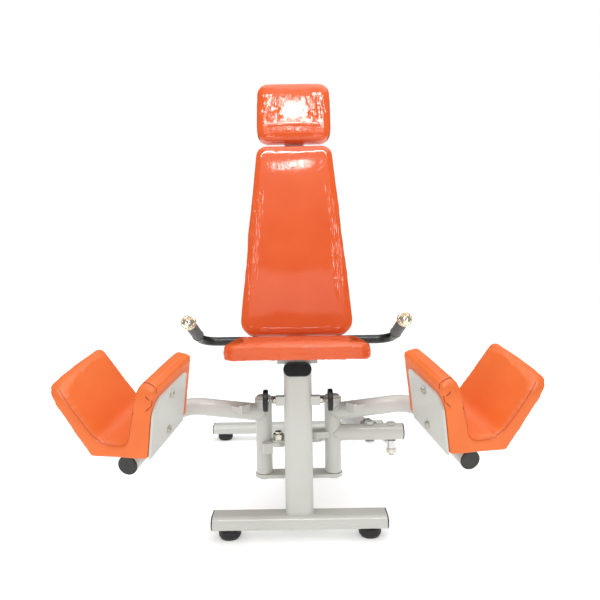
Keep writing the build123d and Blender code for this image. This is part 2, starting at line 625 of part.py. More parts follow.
def make_cylinder():
    start, along, span = cylinder_line()
    back = tuple(along)

    def at(distance):
        return tuple(start + along * distance)

    eye = rod((start.X, start.Y, 236), (0, 0, 1), 14, 22)
    shank = rod(at(8), back, ROD_RADIUS, ROD_END - 8)
    piston = rod(at(ROD_END - 20), back, BARREL_BORE - RUNNING, 20)
    piston_rod = eye + shank + piston - rod((start.X, start.Y, 230), (0, 0, 1), ROD_RADIUS + RUNNING, 40)
    keep("cylinder_rod", piston_rod)

    cup_outer = rod((ANCHOR[0], ANCHOR[1], CYLINDER_Z - 26), (0, 0, 1), CUP_RADIUS, 52)
    cup_bore = rod((ANCHOR[0], ANCHOR[1], CYLINDER_Z - 26), (0, 0, 1), CUP_BORE, 48)
    barrel = rod(at(BARREL_START), back, BARREL_RADIUS, span - BARREL_START - 10)
    hollow = rod(at(BARREL_START + 14), back, BARREL_BORE, span - CUP_RADIUS - 12 - BARREL_START - 14)
    gland = rod(at(BARREL_START - 2), back, ROD_RADIUS + RUNNING, 20)
    barrel = barrel + fillet(cup_outer.edges(), 3) - hollow - gland - cup_bore
    keep("cylinder_barrel", barrel)

    dial = ring(at(BARREL_START + 6), back, 31, BARREL_RADIUS + RUNNING, 24)
    for index in range(12):
        turn = radians(30 * index)
        side = Vector(0, 0, 1) * cos(turn) + along.cross(Vector(0, 0, 1)) * sin(turn)
        spot = start + along * (BARREL_START + 5) + side * 32.5
        dial = dial - rod(tuple(spot), back, 4, 26)
    pointer = start + along * (BARREL_START + 18) + Vector(0, 0, 30)
    keep("resistance_dial", dial + rod(tuple(pointer), (0, 0, 1), 5, 4))

    # Bracket on the rear post with the ball stud that the cylinder's cup sits over
    arm = Pos(90, REAR_POST_Y, 140) * Box(130, 40, 40)
    arm = arm - oval((0, REAR_POST_Y, 90), (0, 0, 1), (1, 0, 0), 100)
    ball = Pos(*ANCHOR) * Sphere(BALL_RADIUS)
    stud = rod((ANCHOR[0], ANCHOR[1], 160), (0, 0, 1), BALL_RADIUS - 3, CYLINDER_Z - 160)
    base = rod((ANCHOR[0], ANCHOR[1], 160), (0, 0, 1), 16, 12)
    keep("cylinder_anchor", arm + base + stud + ball)


def make_arms():
    tube, solid, cap = make_arm()
    pivot_tube, bushes = make_pivot_tube()
    pad, plate, bolts = make_cradle()
    lug = make_stop_lug(solid)
    plate = plate - solid
    pieces = (("pivot_tube", [pivot_tube]), ("pivot_bushes", bushes), ("arm_tube", [tube]),
              ("arm_end_cap", [cap]), ("cradle_pad", [pad]), ("cradle_plate", [plate]),
              ("cradle_bolts", bolts), ("stop_lug", [lug]))
    for name, shapes in pieces:
        keep("right_" + name, *shapes)
        keep("left_" + name, *[mirrored(shape) for shape in shapes])


def main():
    base_caps = make_base()
    beam, beam_solid, beam_caps = make_column_and_beam()
    keep("oval_end_caps", *(base_caps + beam_caps))
    pad_bolts = make_seat(beam, beam_solid)
    upright, upright_solid, back_bolts = make_back()
    make_handles(upright, upright_solid)
    keep("pad_bolts", *(pad_bolts + back_bolts))
    make_pivots()
    make_stops()
    make_arms()
    make_link()
    make_lever()
    make_cylinder()

    os.makedirs("parts", exist_ok=True)
    place = Pos(0, -ORIGIN_Y, -FLOOR_Z)
    whole = Compound(children=[place * shape for shape in parts.values()])
    for name, shape in parts.items():
        export_step(place * shape, "parts/" + name + ".step")
    box = whole.bounding_box()
    print(len(parts), "nodes; box", box.min, box.max)
    _, along, span = cylinder_line()
    print("cylinder", along, span)
    print("arm directions", arm_directions())


main()
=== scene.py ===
"""Looks for the hip abductor machine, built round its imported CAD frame. Metres, +Z up, the user faces -Y."""

import json
import math

import bmesh
import bpy
import numpy as np
from mathutils import Matrix, Vector, noise
from mathutils.bvhtree import BVHTree


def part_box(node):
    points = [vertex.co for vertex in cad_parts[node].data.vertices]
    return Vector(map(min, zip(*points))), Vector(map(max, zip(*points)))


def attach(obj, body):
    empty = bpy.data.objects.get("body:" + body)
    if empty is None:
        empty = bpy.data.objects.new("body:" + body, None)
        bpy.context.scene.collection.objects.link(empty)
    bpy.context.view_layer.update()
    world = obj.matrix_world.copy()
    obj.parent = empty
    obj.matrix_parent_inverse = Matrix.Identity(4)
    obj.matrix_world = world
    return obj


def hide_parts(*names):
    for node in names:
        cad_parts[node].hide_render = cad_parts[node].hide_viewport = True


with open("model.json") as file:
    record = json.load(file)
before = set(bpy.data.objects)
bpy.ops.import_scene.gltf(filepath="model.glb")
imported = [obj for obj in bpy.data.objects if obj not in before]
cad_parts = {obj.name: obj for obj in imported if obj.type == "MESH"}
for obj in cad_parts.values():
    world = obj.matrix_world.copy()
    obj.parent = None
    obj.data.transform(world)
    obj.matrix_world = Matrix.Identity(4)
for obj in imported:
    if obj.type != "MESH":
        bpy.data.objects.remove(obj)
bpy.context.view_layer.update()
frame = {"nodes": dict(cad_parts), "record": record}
SCENE = bpy.context.scene

# Camera: level, rolled a little, 36 mm lens on a 36 mm sensor
CAMERA_PLACE = (0, -2.035, 0.782)
CAMERA_ROLL = math.radians(0.9)
CAMERA_SHIFT = (0.0071, -0.0648)

# Reclined pads
RECLINE = math.radians(15)
SEAT_TILT = math.radians(4.1)

# Right leg arm; the left one is its mirror image
ARM_ELBOW = Vector((0.342, -0.276, 0.367))
ARM_END = Vector((0.414, -0.589, 0.295))
CRADLE_LEAD = 0.016

# Hand grips
HANDLE_CORNER = Vector((0.329, 0.0567, 0.506))
HANDLE_TIP = Vector((0.334, -0.185, 0.599))
GRIP_LENGTH = 0.158
CAP_THICKNESS = 0.012

# Backrest pad: half its bottom width, length, and how much half its width shrinks on the way up
BACK_HALF_WIDTH = 0.194
BACK_LENGTH = 0.695
BACK_TAPER = 0.058

# Pivot tube, the two tubes welded to it and the heights at which their axes leave it
PIVOT_RADIUS = 0.024
ARM_RADIUS = 0.025
ARM_HEIGHT = 0.332
LEVER_RADIUS = 0.024
LEVER_HEIGHT = 0.270
WELD_RADIUS = 0.0028
STOP_SCREW_RADIUS = 0.005

FLOOR_HALF = 7.0
VOXEL = 0.005


# ---------------------------------------------------------------- materials
class Shader:
    """A material with one Principled shader, and short calls for the nodes that feed it."""

    def __init__(self, name, stretch=(1, 1, 1), **values):
        self.material = bpy.data.materials.new(name)
        self.material.use_nodes = True
        self.tree = self.material.node_tree
        self.bsdf = self.tree.nodes["Principled BSDF"]
        mapping = self.add("ShaderNodeMapping")
        mapping.inputs["Scale"].default_value = stretch
        self.link(self.add("ShaderNodeTexCoord").outputs["Object"], mapping.inputs["Vector"])
        self.place = mapping.outputs[0]
        for key, value in values.items():
            self.bsdf.inputs[key.replace("_", " ")].default_value = value

    def add(self, kind):
        return self.tree.nodes.new(kind)

    def link(self, source, target):
        self.tree.links.new(source, target)

    def noise(self, scale, detail=4.0, roughness=0.55, distortion=0.0, place=None):
        node = self.add("ShaderNodeTexNoise")
        node.inputs["Scale"].default_value = scale
        node.inputs["Detail"].default_value = detail
        node.inputs["Roughness"].default_value = roughness
        node.inputs["Distortion"].default_value = distortion
        self.link(place or self.place, node.inputs["Vector"])
        return node.outputs["Fac"]

    def cells(self, scale):
        node = self.add("ShaderNodeTexVoronoi")
        node.feature = "DISTANCE_TO_EDGE"
        node.inputs["Scale"].default_value = scale
        self.link(self.place, node.inputs["Vector"])
        return node.outputs["Distance"]

    def stretched(self, scale):
        """The piece's own coordinates under another stretch."""
        mapping = self.add("ShaderNodeMapping")
        mapping.inputs["Scale"].default_value = scale
        self.link(self.add("ShaderNodeTexCoord").outputs["Object"], mapping.inputs["Vector"])
        return mapping.outputs[0]

    def colours(self, factor, *stops):
        ramp = self.add("ShaderNodeValToRGB")
        while len(ramp.color_ramp.elements) < len(stops):
            ramp.color_ramp.elements.new(0.5)
        for element, (place, colour) in zip(ramp.color_ramp.elements, stops):
            element.position = place
            element.color = (*colour, 1)
        self.link(factor, ramp.inputs["Fac"])
        return ramp.outputs["Color"]

    def paint(self, factor, *stops):
        self.link(self.colours(factor, *stops), self.bsdf.inputs["Base Color"])
        return self

    def rough(self, factor, low, high, socket="Roughness"):
        spread = self.add("ShaderNodeMapRange")
        spread.inputs["To Min"].default_value = low
        spread.inputs["To Max"].default_value = high
        self.link(factor, spread.inputs["Value"])
        self.link(spread.outputs["Result"], self.bsdf.inputs[socket])
        return self

    def bump(self, height, depth, strength=1.0, onto=None):
        node = self.add("ShaderNodeBump")
        node.inputs["Strength"].default_value = strength
        node.inputs["Distance"].default_value = depth
        self.link(height, node.inputs["Height"])
        if onto is not None:
            self.link(onto, node.inputs["Normal"])
        return node.outputs["Normal"]

    def soft_edges(self, radius):
        """Normals that round sharp edges off, as paint or handling does."""
        node = self.add("ShaderNodeBevel")
        node.samples = 4
        node.inputs["Radius"].default_value = radius
        return node.outputs["Normal"]

    def normal(self, output, socket="Normal"):
        self.link(output, self.bsdf.inputs[socket])
        return self


def white_paint():
    """Powder coat: warm white with a fine orange peel, softer along the edges."""
    s = Shader("white_paint", Coat_Weight=0.25, Coat_Roughness=0.12, Specular_IOR_Level=0.4)
    s.paint(s.noise(6, 5), (0.3, (0.545, 0.550, 0.510)), (0.7, (0.585, 0.590, 0.555)))
    s.rough(s.noise(35, 3), 0.27, 0.40)
    return s.normal(s.bump(s.noise(650, 2), 0.00012, 0.5, s.soft_edges(0.0012))).material


def gloss_plastic(name, dark, light):
    s = Shader(name, Coat_Weight=0.4, Coat_Roughness=0.05)
    s.paint(s.noise(40, 4), (0.35, dark), (0.7, light))
    s.rough(s.noise(90, 3), 0.10, 0.22)
    return s.normal(s.bump(s.noise(300, 2), 0.0001, 0.4, s.soft_edges(0.0010))).material


def satin_plastic(name, dark, light, low=0.38, high=0.52):
    s = Shader(name)
    s.paint(s.noise(55, 5), (0.35, dark), (0.7, light))
    s.rough(s.noise(160, 3), low, high)
    return s.normal(s.bump(s.noise(1500, 2), 0.0001, 0.6, s.soft_edges(0.0010))).material


def rubber(name, dark, light):
    s = Shader(name, Sheen_Weight=0.04)
    s.paint(s.noise(80, 6), (0.35, dark), (0.75, light))
    s.rough(s.noise(120, 4), 0.42, 0.62)
    return s.normal(s.bump(s.noise(900, 3), 0.00018, 0.6, s.soft_edges(0.0012))).material


def zinc_steel():
    """Zinc plating: grey with the yellow and brown tinge of its passivation."""
    s = Shader("zinc_steel", Metallic=1.0)
    s.paint(s.noise(70, 5), (0.30, (0.42, 0.38, 0.31)), (0.52, (0.64, 0.61, 0.54)), (0.72, (0.80, 0.79, 0.76)))
    s.rough(s.noise(260, 4), 0.18, 0.38)
    return s.normal(s.bump(s.noise(900, 2), 0.00008, 0.5, s.soft_edges(0.0008))).material


def plain_metal(name, dark, light, low, high, metallic=1.0):
    s = Shader(name, Metallic=metallic)
    s.paint(s.noise(60, 4), (0.3, dark), (0.7, light))
    s.rough(s.noise(220, 4), low, high)
    return s.normal(s.bump(s.noise(1100, 2), 0.00005, 0.4, s.soft_edges(0.0006))).material


def stained_board():
    """Plywood stained black, with its grain running up the board."""
    s = Shader("backing_board", (1, 1, 0.06))
    grain = s.noise(160, 6, 0.6, 0.8)
    s.paint(grain, (0.35, (0.028, 0.024, 0.020)), (0.7, (0.085, 0.070, 0.055)))
    s.rough(grain, 0.62, 0.80)
    return s.normal(s.bump(grain, 0.0004, 0.5)).material


def cradle_leather():
    """Satin artificial leather: fine pebble grain, a little paler and darker at random."""
    s = Shader("cradle_leather", Sheen_Weight=0.10, Sheen_Roughness=0.4, Specular_IOR_Level=0.50)
    s.paint(s.noise(9, 5), (0.30, (0.76, 0.136, 0.010)), (0.55, (0.80, 0.150, 0.014)), (0.80, (0.82, 0.168, 0.020)))
    s.rough(s.noise(420, 3), 0.40, 0.54)
    pebbles = s.bump(s.cells(1150), 0.00022, 0.55)
    return s.normal(s.bump(s.noise(240, 4), 0.0003, 0.35, pebbles)).material


def wrapped_leather(name, creases, depth):
    """Gloss artificial leather under clear film, whose creases run along the stretched direction."""
    s = Shader(name, Coat_Weight=1.0, Coat_IOR=1.45, Coat_Roughness=0.035, Specular_IOR_Level=0.1)
    s.paint(s.noise(7, 5), (0.30, (0.70, 0.094, 0.016)), (0.55, (0.73, 0.108, 0.022)), (0.80, (0.75, 0.124, 0.030)))
    s.rough(s.noise(300, 3), 0.28, 0.40)
    s.normal(s.bump(s.cells(1000), 0.00015, 0.4))
    film = s.noise(1.0, 5, 0.62, 1.6, s.stretched(creases))
    ripples = s.bump(film, depth, 0.8)
    return s.normal(s.bump(s.noise(26, 3), depth * 0.7, 0.4, ripples), "Coat Normal").material


def seam_thread(name, dark, light):
    s = Shader(name)
    s.paint(s.noise(400, 3), (0.35, dark), (0.7, light))
    s.rough(s.noise(800, 2), 0.55, 0.75)
    return s.normal(s.bump(s.noise(1800, 2), 0.0002, 0.6)).material


def grip_rubber():
    s = Shader("grip_rubber", Sheen_Weight=0.2)
    s.paint(s.noise(130, 6), (0.35, (0.022, 0.023, 0.018)), (0.75, (0.060, 0.056, 0.046)))
    s.rough(s.noise(300, 4), 0.40, 0.60)
    return s.normal(s.bump(s.cells(700), 0.0003, 0.5)).material


def floor_paint():
    s = Shader("pale_floor", Roughness=0.75, Emission_Color=(1, 1, 1, 1), Emission_Strength=0.30)
    s.paint(s.noise(1.5, 3), (0.3, (0.84, 0.84, 0.835)), (0.7, (0.86, 0.86, 0.855)))
    return s.normal(s.bump(s.noise(60, 3), 0.0003, 0.1)).material


MATERIALS = {
    "white_paint": white_paint(),
    "oval_cap_black": gloss_plastic("oval_cap_black", (0.006, 0.006, 0.007), (0.013, 0.013, 0.015)),
    "foot_rubber": rubber("foot_rubber", (0.004, 0.004, 0.004), (0.010, 0.009, 0.009)),
    "backing_board": stained_board(),
    "zinc_steel": zinc_steel(),
    "bearing_bronze": plain_metal("bearing_bronze", (0.48, 0.30, 0.13), (0.62, 0.42, 0.20), 0.25, 0.4),
    "handle_black": satin_plastic("handle_black", (0.010, 0.014, 0.013), (0.024, 0.028, 0.026), 0.22, 0.36),
    "grip_rubber": grip_rubber(),
    "cap_chrome": plain_metal("cap_chrome", (0.80, 0.80, 0.81), (0.92, 0.92, 0.92), 0.16, 0.28, metallic=0.7),
    "arm_cap_plastic": satin_plastic("arm_cap_plastic", (0.014, 0.014, 0.010), (0.028, 0.028, 0.020)),
    "lever_cap_plastic": gloss_plastic("lever_cap_plastic", (0.050, 0.030, 0.060), (0.085, 0.055, 0.095)),
    "stop_rubber": rubber("stop_rubber", (0.004, 0.003, 0.004), (0.011, 0.008, 0.009)),
    "cylinder_paint": satin_plastic("cylinder_paint", (0.52, 0.53, 0.52), (0.60, 0.61, 0.60), 0.3, 0.42),
    "rod_chrome": plain_metal("rod_chrome", (0.62, 0.62, 0.61), (0.80, 0.80, 0.79), 0.22, 0.34),
    "dial_plastic": satin_plastic("dial_plastic", (0.20, 0.19, 0.17), (0.30, 0.28, 0.25)),
    "seat_leather": wrapped_leather("seat_leather", (30, 80, 110), 0.0022),
    "cradle_leather": cradle_leather(),
}
GOLD_RING = plain_metal("gold_ring", (0.74, 0.64, 0.42), (0.88, 0.82, 0.64), 0.16, 0.28, metallic=0.7)
# Dark red thread for the nose and dart seams: partly the thread's own colour, partly painted shade for the seam
# grooves, which the mesh is too coarse to darken
SEAM_THREAD_AND_PAINTED_SHADE = seam_thread("seam_thread_and_painted_shade", (0.20, 0.016, 0.006), (0.32, 0.034, 0.012))
ORANGE_SEAM = seam_thread("orange_seam", (0.56, 0.086, 0.010), (0.68, 0.118, 0.014))
# White paint made brighter than the frame's own paint: painted light for the headrest plate, which sits in the
# shade behind the pads
PLATE_PAINTED_LIGHT = satin_plastic("bright_paint", (0.86, 0.86, 0.85), (0.92, 0.92, 0.91), 0.3, 0.4)


def dress_cad_nodes():
    """Gives every CAD node the material of its slot in the record."""
    for row in frame["record"]["subparts"]:
        node = frame["nodes"][row["node"]]
        material = MATERIALS[row["material_slot"]]
        if not node.material_slots:
            node.data.materials.append(material)
        for slot in node.material_slots:
            slot.material = material
    # The headrest plate gets the brighter white, painted light in place of the light its shaded gap lacks
    frame["nodes"]["headrest_plate"].material_slots[0].material = PLATE_PAINTED_LIGHT


# ---------------------------------------------------------------- mesh helpers
def new_object(name, mesh, material):
    obj = bpy.data.objects.new(name, mesh)
    SCENE.collection.objects.link(obj)
    mesh.materials.clear()
    mesh.materials.append(material)
    for polygon in mesh.polygons:
        polygon.use_smooth = True
    return obj


def coordinates(mesh):
    found = np.empty(len(mesh.vertices) * 3)
    mesh.vertices.foreach_get("co", found)
    return found.reshape(-1, 3)


def normals(mesh):
    found = np.empty(len(mesh.vertices) * 3)
    mesh.vertices.foreach_get("normal", found)
    return found.reshape(-1, 3)


def write(mesh, points):
    mesh.vertices.foreach_set("co", points.ravel())
    mesh.update()


def finished(obj, kind, **values):
    """Adds a modifier and makes its result the object's own mesh."""
    modifier = obj.modifiers.new(kind.lower(), kind)
    for key, value in values.items():
        setattr(modifier, key, value)
    graph = bpy.context.evaluated_depsgraph_get()
    mesh = bpy.data.meshes.new_from_object(obj.evaluated_get(graph), depsgraph=graph)
    obj.modifiers.clear()
    obj.data = mesh
    return obj


def as_matrix(x_axis, y_axis, z_axis, origin):
    turn = Matrix((x_axis, y_axis, z_axis)).transposed().to_4x4()
    return Matrix.Translation(origin) @ turn


def local(points, place):
    """Points of the row frame in the frame that place describes."""
    turn = np.array(place.to_3x3())
    return (points - np.array(place.translation)) @ turn


def pad_from(node, place, material, voxel=VOXEL, smooth=6):
    """A soft copy of a CAD pad: remeshed square to its own frame, edges softened."""
    mesh = frame["nodes"][node].data.copy()
    mesh.transform(place.inverted())
    obj = new_object(node.replace("_pad", "_cushion"), mesh, material)
    finished(obj, "REMESH", mode="VOXEL", voxel_size=voxel)
    finished(obj, "SMOOTH", factor=0.5, iterations=smooth)
    obj.data.transform(place)
    obj.data.update()
    return obj


def inflate(obj, held, limit, pressure=4.0, frames=16):
    """Cloth under air pressure. Held vertices stay, and the others only rise, up to limit."""
    start = coordinates(obj.data)
    group = obj.vertex_groups.new(name="held")
    group.add([int(i) for i in np.flatnonzero(held)], 1.0, "REPLACE")
    cloth = obj.modifiers.new("cloth", "CLOTH")
    cloth.settings.quality = 4
    cloth.settings.use_pressure = True
    cloth.settings.uniform_pressure_force = pressure
    cloth.settings.vertex_group_mass = group.name
    cloth.settings.effector_weights.gravity = 0
    cloth.point_cache.frame_start = 1
    cloth.point_cache.frame_end = frames
    for number in range(1, frames + 1):
        SCENE.frame_set(number)
    graph = bpy.context.evaluated_depsgraph_get()
    moved = coordinates(obj.evaluated_get(graph).data) - start
    obj.modifiers.clear()
    obj.vertex_groups.clear()
    SCENE.frame_set(1)
    outward = normals(obj.data)
    rise = np.clip((moved * outward).sum(1), 0, limit)
    write(obj.data, start + outward * rise[:, None])
    finished(obj, "SMOOTH", factor=0.5, iterations=1)


def fractal(point, octaves=3):
    return noise.fractal(point, 1.0, 2.0, octaves, noise_basis="PERLIN_ORIGINAL")


def step(values, low, high):
    """0 below low, 1 above high, smooth between."""
    t = np.clip((values - low) / (high - low), 0, 1)
    return t * t * (3 - 2 * t)


def smooth_path(points, spacing=0.002):
    """Catmull-Rom line through listed points, evenly spaced."""
    points = [Vector(p) for p in points]
    ends = [points[0] * 2 - points[1], *points, points[-1] * 2 - points[-2]]
    line = []
    for a, b, c, d in zip(ends, ends[1:], ends[2:], ends[3:]):
        count = max(2, int((c - b).length / spacing))
        for i in range(count):
            t = i / count
            line.append(0.5 * (2 * b + (c - a) * t + (2 * a - 5 * b + 4 * c - d) * t ** 2
                               + (3 * b - a - 3 * c + d) * t ** 3))
    return line + [points[-1]]


def onto_surface(obj, line, lift=0.0):
    """The points of a line moved to the nearest place on the surface, and lifted off it."""
    tree = BVHTree.FromPolygons([v.co for v in obj.data.vertices], [p.vertices for p in obj.data.polygons])
    found = []
    for point in line:
        place, normal, _, _ = tree.find_nearest(point)
        found.append(place + normal * lift)
    return found


def press_line(obj, line, width, depth):
    """Presses a groove along a line into the surface."""
    points = coordinates(obj.data)
    along = np.array(line)
    nearest = np.full(len(points), 1e9)
    near_box = np.all((points > along.min(0) - width * 2) & (points < along.max(0) + width * 2), axis=1)
    for chunk in np.array_split(np.flatnonzero(near_box), 60):
        if len(chunk):
            gaps = points[chunk, None, :] - along[None, ::2, :]
            nearest[chunk] = np.sqrt((gaps ** 2).sum(-1).min(1))
    share = np.exp(-(nearest / width) ** 2)
    write(obj.data, points - normals(obj.data) * (share * depth)[:, None])


def tube_along(name, line, radius, material, sides=8, closed=False, beads=0.0, pitch=0.003):
    """A tube along a line; beads swells it at each pitch, as a weld bead does."""
    bm = bmesh.new()
    rings = []
    travelled = 0.0
    count = len(line)
    last_side = None
    for i, point in enumerate(line):
        before = line[i - 1] if i or closed else line[i]
        after = line[(i + 1) % count] if i < count - 1 or closed else line[i]
        along = (after - before).normalized()
        side = last_side or along.orthogonal()
        side = (side - along * side.dot(along)).normalized()
        last_side = side
        if i:
            travelled += (point - line[i - 1]).length
        swell = radius * (1 + beads * math.cos(2 * math.pi * travelled / pitch))
        if not closed and i in (0, count - 1):
            swell *= 0.4
        other = along.cross(side)
        rings.append([bm.verts.new(point + (side * math.cos(a) + other * math.sin(a)) * swell)
                      for a in (2 * math.pi * k / sides for k in range(sides))])
    pairs = list(zip(rings, rings[1:])) + ([(rings[-1], rings[0])] if closed else [])
    for one, two in pairs:
        for k in range(sides):
            bm.faces.new((one[k], one[(k + 1) % sides], two[(k + 1) % sides], two[k]))
    if not closed:
        bm.faces.new(list(reversed(rings[0])))
        bm.faces.new(rings[-1])
    bmesh.ops.recalc_face_normals(bm, faces=bm.faces)
    mesh = bpy.data.meshes.new(name)
    bm.to_mesh(mesh)
    bm.free()
    return new_object(name, mesh, material)


def lathe(name, start, along, rings, material, sides=64, shape=None):
    """A turned piece: rings are (distance along the axis, radius); shape changes the radius by angle."""
    along = along.normalized()
    side = along.orthogonal().normalized()
    other = along.cross(side)
    bm = bmesh.new()
    made = []
    for distance, radius in rings:
        ring = []
        for k in range(sides):
            angle = 2 * math.pi * k / sides
            reach = radius + (shape(distance, angle) if shape else 0)
            ring.append(bm.verts.new(start + along * distance
                                     + (side * math.cos(angle) + other * math.sin(angle)) * reach))
        made.append(ring)
    for one, two in zip(made, made[1:]):
        for k in range(sides):
            bm.faces.new((one[k], one[(k + 1) % sides], two[(k + 1) % sides], two[k]))
    bm.faces.new(made[0])
    bm.faces.new(made[-1])
    bmesh.ops.recalc_face_normals(bm, faces=bm.faces)
    mesh = bpy.data.meshes.new(name)
    bm.to_mesh(mesh)
    bm.free()
    return new_object(name, mesh, material)


def mirrored_copy(obj, name):
    """A copy on the other side of the machine's middle plane."""
    mesh = obj.data.copy()
    mesh.transform(Matrix.Scale(-1, 4, (1, 0, 0)))
    mesh.flip_normals()
    return new_object(name, mesh, obj.data.materials[0])


# ---------------------------------------------------------------- seat, backrest and headrest
def seat_frame():
    low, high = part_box("seat_pad")
    up = Vector((0, math.sin(SEAT_TILT), math.cos(SEAT_TILT)))
    back = Vector((0, math.cos(SEAT_TILT), -math.sin(SEAT_TILT)))
    return as_matrix(Vector((1, 0, 0)), back, up, (low + high) / 2)


def back_frame(node):
    """X across, Y up the reclined face, Z towards the user."""
    low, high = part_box(node)
    up = Vector((0, math.sin(RECLINE), math.cos(RECLINE)))
    front = Vector((0, -math.cos(RECLINE), math.sin(RECLINE)))
    return as_matrix(Vector((1, 0, 0)), up, front, (low + high) / 2)


def crown(points, height, power=2.2):
    """How far a padded face stands out at each point, most in the middle."""
    half = np.abs(points[:, :2]).max(0)
    share = np.clip(1 - np.abs(points[:, 0] / half[0]) ** power, 0, 1)
    share = share * np.clip(1 - np.abs(points[:, 1] / half[1]) ** power, 0, 1)
    return height * np.sqrt(share)


def ripple(points, scale, seed):
    """Smooth noise at each point, stretched by scale."""
    spots = points * np.array(scale) + seed
    return np.array([fractal(Vector(p)) for p in spots])


def shape_seat(place, obj):
    """Crowned top and film puckered round the front and side edges."""
    points = local(coordinates(obj.data), place)
    outward = normals(obj.data)
    top = points[:, 2].max()
    upper = step(points[:, 2], top - 0.018, top - 0.004)
    lift = (crown(points, 0.004) - 0.004) * upper
    edge = step(np.abs(points[:, 2] - 0.004), 0.0, 0.03) * step(-points[:, 1], 0.12, 0.185)
    rim = np.maximum(edge, step(np.abs(points[:, 0]), 0.165, 0.2))
    folds = ripple(points, (34, 60, 110), 3.7) * 0.0024 + ripple(points, (120, 150, 60), 9.1) * 0.0013
    write(obj.data, coordinates(obj.data) + outward * (folds * (0.25 + 0.75 * rim) * 0.8)[:, None]
          + np.array(place.to_3x3().col[2]) * lift[:, None])


def shape_back(place, obj):
    """Crowned face with long film creases down both sides."""
    points = local(coordinates(obj.data), place)
    outward = normals(obj.data)
    front = step(points[:, 2], points[:, 2].max() - 0.018, points[:, 2].max() - 0.004)
    width = BACK_HALF_WIDTH - (points[:, 1] + 0.348) / BACK_LENGTH * BACK_TAPER
    sides = step(np.abs(points[:, 0]) / width, 0.66, 0.90)
    band = step(points[:, 1], -0.26, -0.12) * (1 - step(points[:, 1], 0.10, 0.24))
    creases = ripple(points, (95, 9, 40), 5.3) * 0.0030 * sides * band
    swell = ripple(points, (5, 4, 5), 1.9) * 0.0005
    lift = (crown(points, 0.005) - 0.005 + swell) * front
    write(obj.data, coordinates(obj.data) + outward * creases[:, None]
          + np.array(place.to_3x3().col[2]) * lift[:, None])


def shape_head(place, obj):
    """Crowned face, film gathered into upright folds at both sides and one crease across."""
    points = local(coordinates(obj.data), place)
    outward = normals(obj.data)
    front = step(points[:, 2], points[:, 2].max() - 0.018, points[:, 2].max() - 0.004)
    sides = step(np.abs(points[:, 0]), 0.028, 0.060) * (1 - step(np.abs(points[:, 0]), 0.104, 0.120))
    middle = step(points[:, 1], -0.050, -0.015) * (1 - step(points[:, 1], 0.040, 0.075))
    fan = points.copy()
    fan[:, 0] = points[:, 0] * (1 + 1.6 * points[:, 1])
    folds = ripple(fan, (95, 16, 30), 7.7) * 0.0026 * sides * middle
    crease_y = -0.062 + 0.004 * np.cos(points[:, 0] * 14)
    across = np.exp(-((points[:, 1] - crease_y) / 0.0035) ** 2) * 0.0012
    across *= 1 - step(np.abs(points[:, 0]), 0.085, 0.105)
    lift = (crown(points, 0.006) - 0.006) * front
    write(obj.data, coordinates(obj.data) + outward * ((folds + across) * front)[:, None]
          + np.array(place.to_3x3().col[2]) * lift[:, None])


def make_cushion(node, place, material, shape, limit):
    cushion = pad_from(node, place, material)
    points = local(coordinates(cushion.data), place)
    inflate(cushion, points[:, 2] < points[:, 2].min() + 0.012, limit)
    finished(cushion, "SUBSURF", levels=1)
    shape(place, cushion)
    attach(cushion, "frame")
    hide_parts(node)


def make_seat_cushions():
    film_back = wrapped_leather("backrest_leather", (60, 8, 8), 0.00035)
    film_head = wrapped_leather("headrest_leather", (48, 12, 12), 0.0010)
    make_cushion("seat_pad", seat_frame(), MATERIALS["seat_leather"], shape_seat, 0.002)
    make_cushion("backrest_pad", back_frame("backrest_pad"), film_back, shape_back, 0.002)
    make_cushion("headrest_pad", back_frame("headrest_pad"), film_head, shape_head, 0.002)


# ---------------------------------------------------------------- leg cradles
def cradle_frame():
    """X outward, Y up, Z forward along the right arm, from the middle of the cradle's front face."""
    forward = (ARM_END - ARM_ELBOW).normalized()
    sideways = Vector((-forward.y, forward.x, 0)).normalized()
    return as_matrix(sideways, forward.cross(sideways), forward, ARM_END + forward * CRADLE_LEAD)


# Seams of the right cradle: outward, up, forward from the front face
TROUGH_SEAM = [(0.150, 0.196, -0.012), (0.118, 0.150, -0.004), (0.083, 0.098, -0.002), (0.056, 0.071, -0.002),
               (0.028, 0.062, -0.002), (-0.004, 0.063, -0.002), (-0.018, 0.080, -0.002), (-0.027, 0.112, -0.002),
               (-0.036, 0.146, -0.003)]
NOSE_SEAM = [(-0.036, 0.146, -0.003), (-0.042, 0.172, -0.010), (-0.048, 0.194, -0.022), (-0.058, 0.208, -0.033),
             (-0.073, 0.207, -0.033), (-0.088, 0.199, -0.028), (-0.097, 0.188, -0.024)]
DART_SEAM = [(-0.077, 0.186, -0.013), (-0.090, 0.170, -0.007), (-0.075, 0.152, -0.001)]


